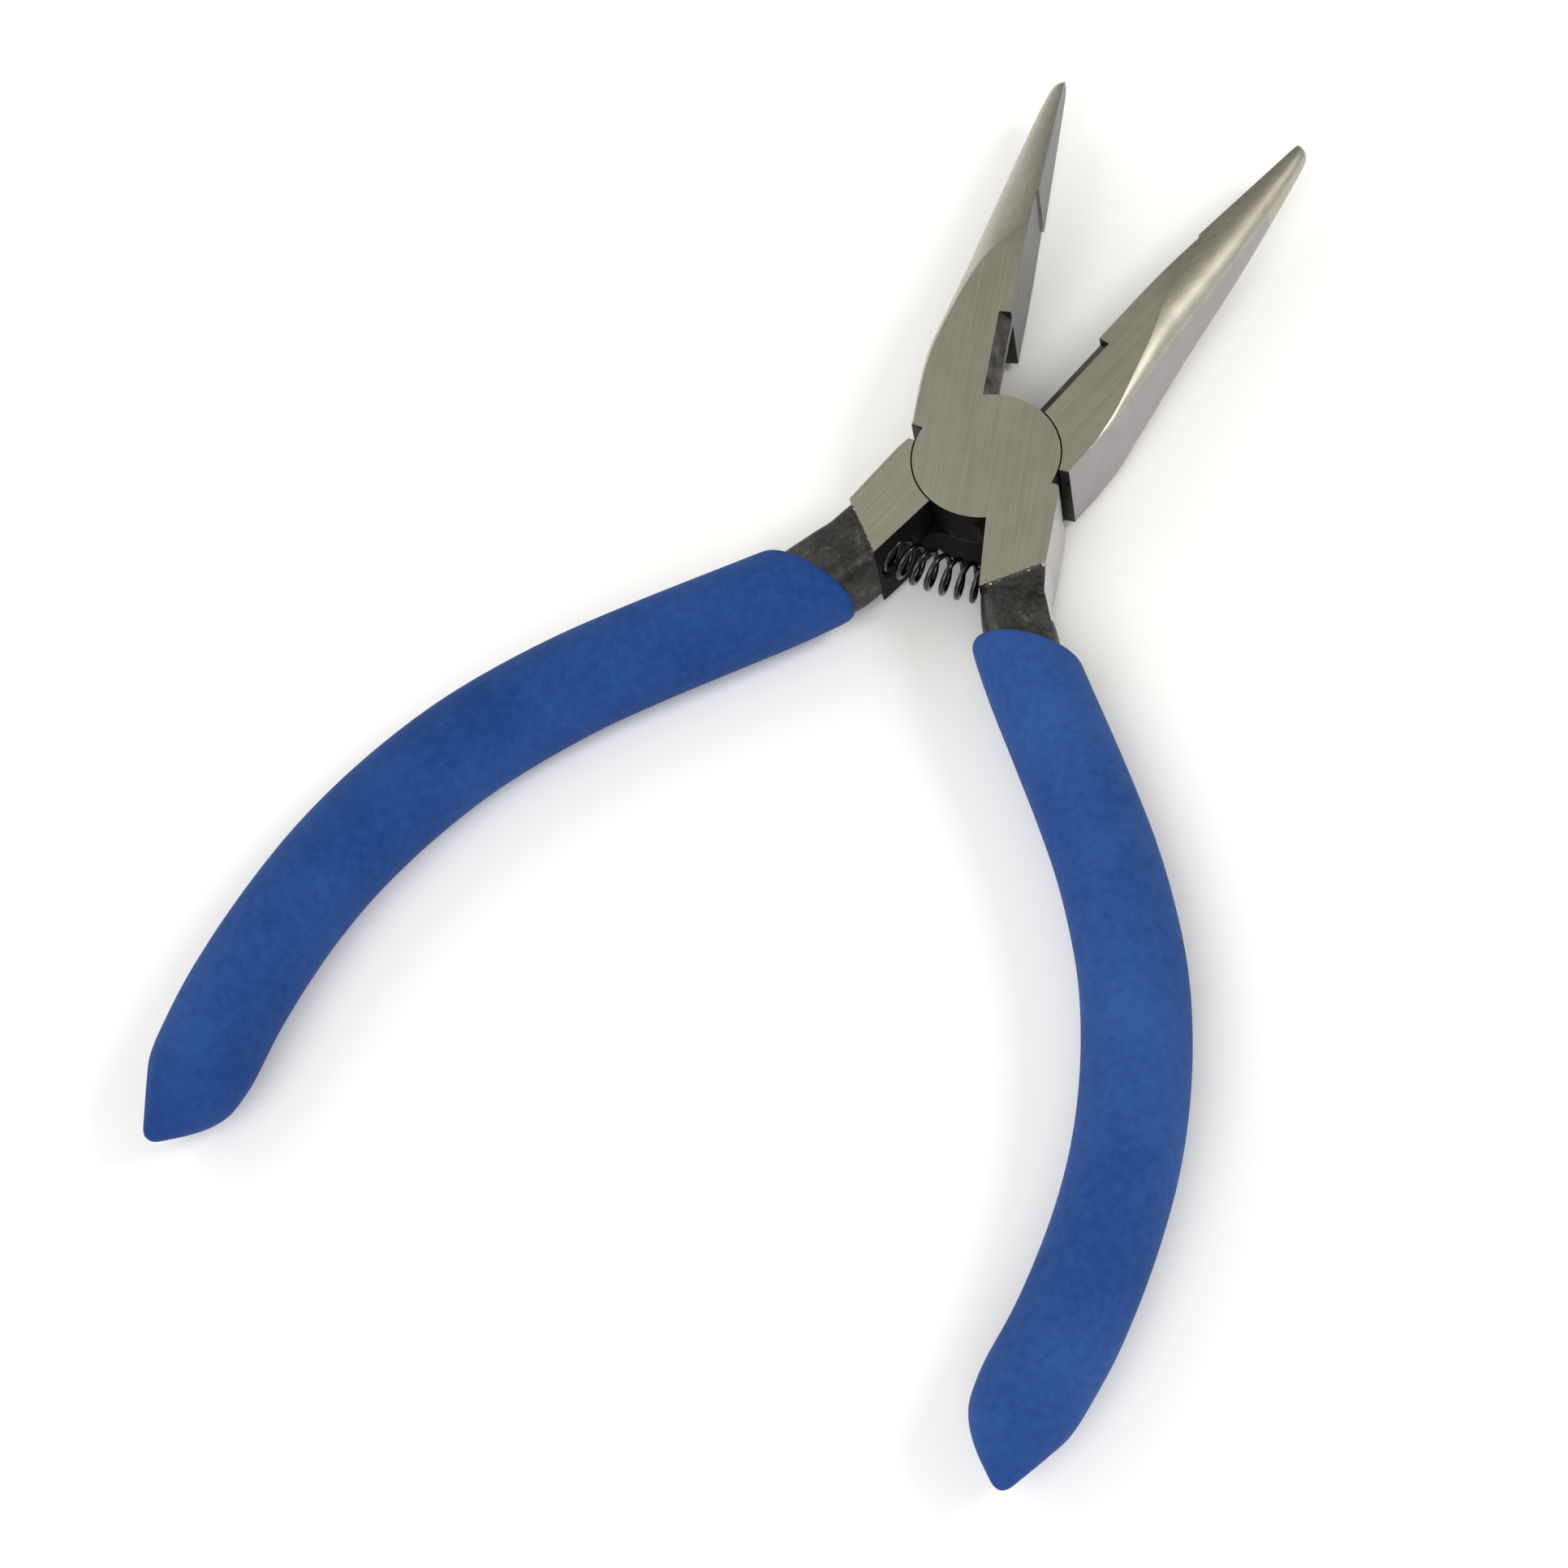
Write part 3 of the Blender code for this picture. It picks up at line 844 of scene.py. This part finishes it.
def make_stage():
    """A plain floor, three softboxes and soft surroundings that are darker above and beyond the tips."""
    bpy.ops.mesh.primitive_plane_add(size=6, location=(0, 0, -0.0001))
    floor = bpy.context.object
    floor.name = "floor"
    floor.data.materials.append(plain_floor("pale floor"))
    world = bpy.data.worlds.new("studio")
    bpy.context.scene.world = world
    world.use_nodes = True
    nodes, links = world.node_tree.nodes, world.node_tree.links
    where = nodes.new("ShaderNodeTexCoord")
    split = nodes.new("ShaderNodeSeparateXYZ")
    links.new(where.outputs["Generated"], split.inputs["Vector"])
    sky = ramp(nodes, links, split.outputs["Z"], (
        (0.0, (0.96, 0.96, 1.04)),
        (0.3, (0.95, 0.94, 0.98)),
        (0.6, (0.74, 0.73, 0.70)),
        (1.0, (0.53, 0.516, 0.404)),
    ))
    flag = ramp(nodes, links, split.outputs["Y"], (
        (0.41, grey(1.0)),
        (0.66, grey(0.40)),
        (0.8, grey(0.38)),
    ))
    shaded = nodes.new("ShaderNodeMix")
    shaded.data_type = "RGBA"
    shaded.blend_type = "MULTIPLY"
    shaded.inputs["Factor"].default_value = 1.0
    links.new(sky, shaded.inputs["A"])
    links.new(flag, shaded.inputs["B"])
    links.new(shaded.outputs["Result"], nodes["Background"].inputs["Color"])
    make_light("left softbox", (-0.80, 0.20, 0.62), (0, 0, 0), 0.8, 2.2, (0.98, 0.98, 1.0))
    make_light("front softbox", (0.10, -0.75, 0.90), (0, 0, 0), 1.0, 7.0, (0.99, 0.985, 1.0))
    make_light("right softbox", (0.56, 0.33, 0.60), (0, 0.03, 0), 0.28, 2.2, (1.0, 0.97, 0.93))
    bpy.context.scene.view_settings.view_transform = "Standard"


def half_finishes(prefix, home):
    """The finishes of one half, in the order of the zones."""
    black_stops = (
        (0.34, (0.012, 0.013, 0.015)),
        (0.46, (0.045, 0.047, 0.048)),
        (0.56, (0.070, 0.066, 0.058)),
        (0.66, (0.16, 0.155, 0.145)),
    )
    # Black oxide in the hollows and between the halves, darkened nearly to black as painted shade.
    shaded_oxide_stops = ((0.4, grey(0.0012)), (0.7, grey(0.005)))
    # Bare worn steel at the head's end, lightened beyond the ground steel as a painted highlight.
    worn_highlight_stops = ((0.38, grey(0.20)), (0.52, grey(0.85)))
    # The ground steel's warm olive tone is partly a painted warm reflection of the surroundings above.
    ground = (0.395, 0.383, 0.313), (0.455, 0.443, 0.367)
    side = (0.46, 0.45, 0.465), (0.54, 0.53, 0.55)
    # Jaws' inner faces: steel darkened as painted shade, the dark reflection of the shaded gap between the
    # jaws.
    gripping = (0.10, 0.105, 0.115), (0.16, 0.16, 0.165)
    bevel = (0.045, 0.043, 0.040), (0.19, 0.18, 0.16)
    # A darker copy of the side steel for the jaws' outer sides, as painted shade.
    shaded_jaw_side = (0.325, 0.312, 0.322), (0.375, 0.362, 0.372)
    return [
        brushed_steel(f"{prefix} ground steel", home, *ground, 0.30, 0.40),
        brushed_steel(f"{prefix} polished side", home, *side, 0.26, 0.36),
        brushed_steel(f"{prefix} gripping face painted shade", home, *gripping, 0.3, 0.42),
        brushed_steel(f"{prefix} cutter bevel", home, *bevel, 0.35, 0.5, 900, 900),
        oxide(f"{prefix} black oxide", home, black_stops, 0.36, 0.58, 0.9),
        oxide(f"{prefix} black oxide painted shade", home, shaded_oxide_stops, 0.45, 0.6, 0.0, 0.00005),
        oxide(f"{prefix} worn edge painted highlight", home, worn_highlight_stops, 0.2, 0.35, 1.0),
        brushed_steel(f"{prefix} jaw side painted shade", home, *shaded_jaw_side, 0.30, 0.40),
    ]


def main():
    """Builds the six pieces, the camera and the stage."""
    front, back = placed(False), placed(True)
    front_finishes = half_finishes("front", front)
    make_half("left_jaw_half", "front_half", LEFT_JAW, False, FRONT_BODY, front_finishes, 3)
    back_finishes = half_finishes("back", back)
    make_half("right_jaw_half", "back_half", RIGHT_JAW, True, BACK_BODY, back_finishes, 8)
    near_foam = foam_grip("blue foam", front, (0.011, 0.049, 0.200), (0.025, 0.079, 0.268))
    # The left grip: a darker copy of the same foam, as painted shade where less light falls on it.
    shaded_foam = foam_grip("blue foam painted shade", back, (0.007, 0.039, 0.172), (0.018, 0.066, 0.240))
    make_grip("right_foam_grip", "right_grip", False, FRONT_BODY, near_foam, 0.97)
    make_grip("left_foam_grip", "left_grip", True, BACK_BODY, shaded_foam, 0.996)
    make_spring(glossy_black("black spring wire"))
    rivet_tones = (0.42, 0.41, 0.38), (0.52, 0.51, 0.47)
    make_rivet(brushed_steel("rivet end", front, *rivet_tones, 0.3, 0.42, 900, 900))
    make_camera()
    make_stage()


main()
